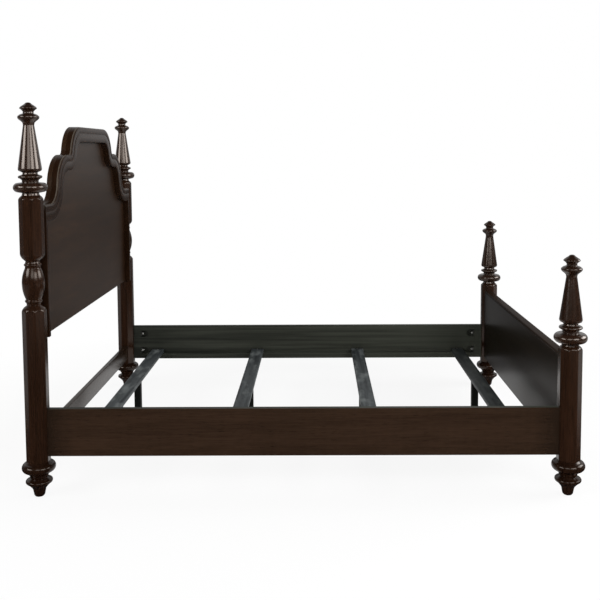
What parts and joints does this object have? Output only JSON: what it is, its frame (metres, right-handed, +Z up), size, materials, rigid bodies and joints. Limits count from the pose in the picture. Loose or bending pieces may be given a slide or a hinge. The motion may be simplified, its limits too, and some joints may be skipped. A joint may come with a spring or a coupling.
{
  "type": "four poster bed frame",
  "caption": "Dark wood four poster bed frame for a queen mattress: octagonal posts with turned feet and finials, arched headboard, plain footboard, bolted rails and slats on levelling legs",
  "frame": {"origin": "on the floor, under the middle of the bed's overall box", "axes": "+X runs from the headboard to the footboard, +Y to the right side as seen from the foot, +Z up"},
  "size_m": [2.307, 1.706, 1.612],
  "materials": {
    "espresso_wood": "espresso stain under satin lacquer",
    "slat_wood": "dark stain, low sheen",
    "black_leg": "black paint, low sheen",
    "zinc_steel": "zinc plated",
    "glide_plastic": "moulded nylon"
  },
  "bodies": {
    "bed_frame": {"finial_screws": "zinc_steel", "foot_finial_left": "espresso_wood", "foot_finial_right": "espresso_wood", "foot_glides": "glide_plastic", "foot_hanger_bolts": "zinc_steel", "foot_post_left": "espresso_wood", "foot_post_right": "espresso_wood", "foot_turned_foot_left": "espresso_wood", "foot_turned_foot_right": "espresso_wood", "footboard_cap": "espresso_wood", "footboard_panel": "espresso_wood", "head_finial_left": "espresso_wood", "head_finial_right": "espresso_wood", "head_post_left": "espresso_wood", "head_post_right": "espresso_wood", "head_stretcher": "espresso_wood", "head_turned_foot_left": "espresso_wood", "head_turned_foot_right": "espresso_wood", "headboard_arch_moulding": "espresso_wood", "headboard_panel": "espresso_wood", "headboard_stile_left": "espresso_wood", "headboard_stile_right": "espresso_wood", "leg_screws": "zinc_steel", "rail_bolts": "zinc_steel", "rail_nuts": "zinc_steel", "rail_washers": "zinc_steel", "side_rail_left": "espresso_wood", "side_rail_right": "espresso_wood", "slat_1": "slat_wood", "slat_2": "slat_wood", "slat_3": "slat_wood", "slat_4": "slat_wood", "slat_ledger_left": "slat_wood", "slat_ledger_right": "slat_wood", "slat_leg_1_left": "black_leg", "slat_leg_1_right": "black_leg", "slat_leg_2_left": "black_leg", "slat_leg_2_right": "black_leg", "slat_leg_3_left": "black_leg", "slat_leg_3_right": "black_leg", "slat_leg_4_left": "black_leg", "slat_leg_4_right": "black_leg", "slat_screws": "zinc_steel"},
    "leveller_1_left": {"leg_leveller_1_left": "zinc_steel"},
    "leveller_1_right": {"leg_leveller_1_right": "zinc_steel"},
    "leveller_2_left": {"leg_leveller_2_left": "zinc_steel"},
    "leveller_2_right": {"leg_leveller_2_right": "zinc_steel"},
    "leveller_3_left": {"leg_leveller_3_left": "zinc_steel"},
    "leveller_3_right": {"leg_leveller_3_right": "zinc_steel"},
    "leveller_4_left": {"leg_leveller_4_left": "zinc_steel"},
    "leveller_4_right": {"leg_leveller_4_right": "zinc_steel"}
  },
  "joints": [
    {"name": "leveller_1_left_screw", "type": "slide", "parent": "bed_frame", "child": "leveller_1_left", "axis": [0, 0, 1], "range_m": [-0.01, 0]},
    {"name": "leveller_1_right_screw", "type": "slide", "parent": "bed_frame", "child": "leveller_1_right", "axis": [0, 0, 1], "range_m": [-0.01, 0]},
    {"name": "leveller_2_left_screw", "type": "slide", "parent": "bed_frame", "child": "leveller_2_left", "axis": [0, 0, 1], "range_m": [-0.01, 0]},
    {"name": "leveller_2_right_screw", "type": "slide", "parent": "bed_frame", "child": "leveller_2_right", "axis": [0, 0, 1], "range_m": [-0.01, 0]},
    {"name": "leveller_3_left_screw", "type": "slide", "parent": "bed_frame", "child": "leveller_3_left", "axis": [0, 0, 1], "range_m": [-0.01, 0]},
    {"name": "leveller_3_right_screw", "type": "slide", "parent": "bed_frame", "child": "leveller_3_right", "axis": [0, 0, 1], "range_m": [-0.01, 0]},
    {"name": "leveller_4_left_screw", "type": "slide", "parent": "bed_frame", "child": "leveller_4_left", "axis": [0, 0, 1], "range_m": [-0.01, 0]},
    {"name": "leveller_4_right_screw", "type": "slide", "parent": "bed_frame", "child": "leveller_4_right", "axis": [0, 0, 1], "range_m": [-0.01, 0]}
  ]
}
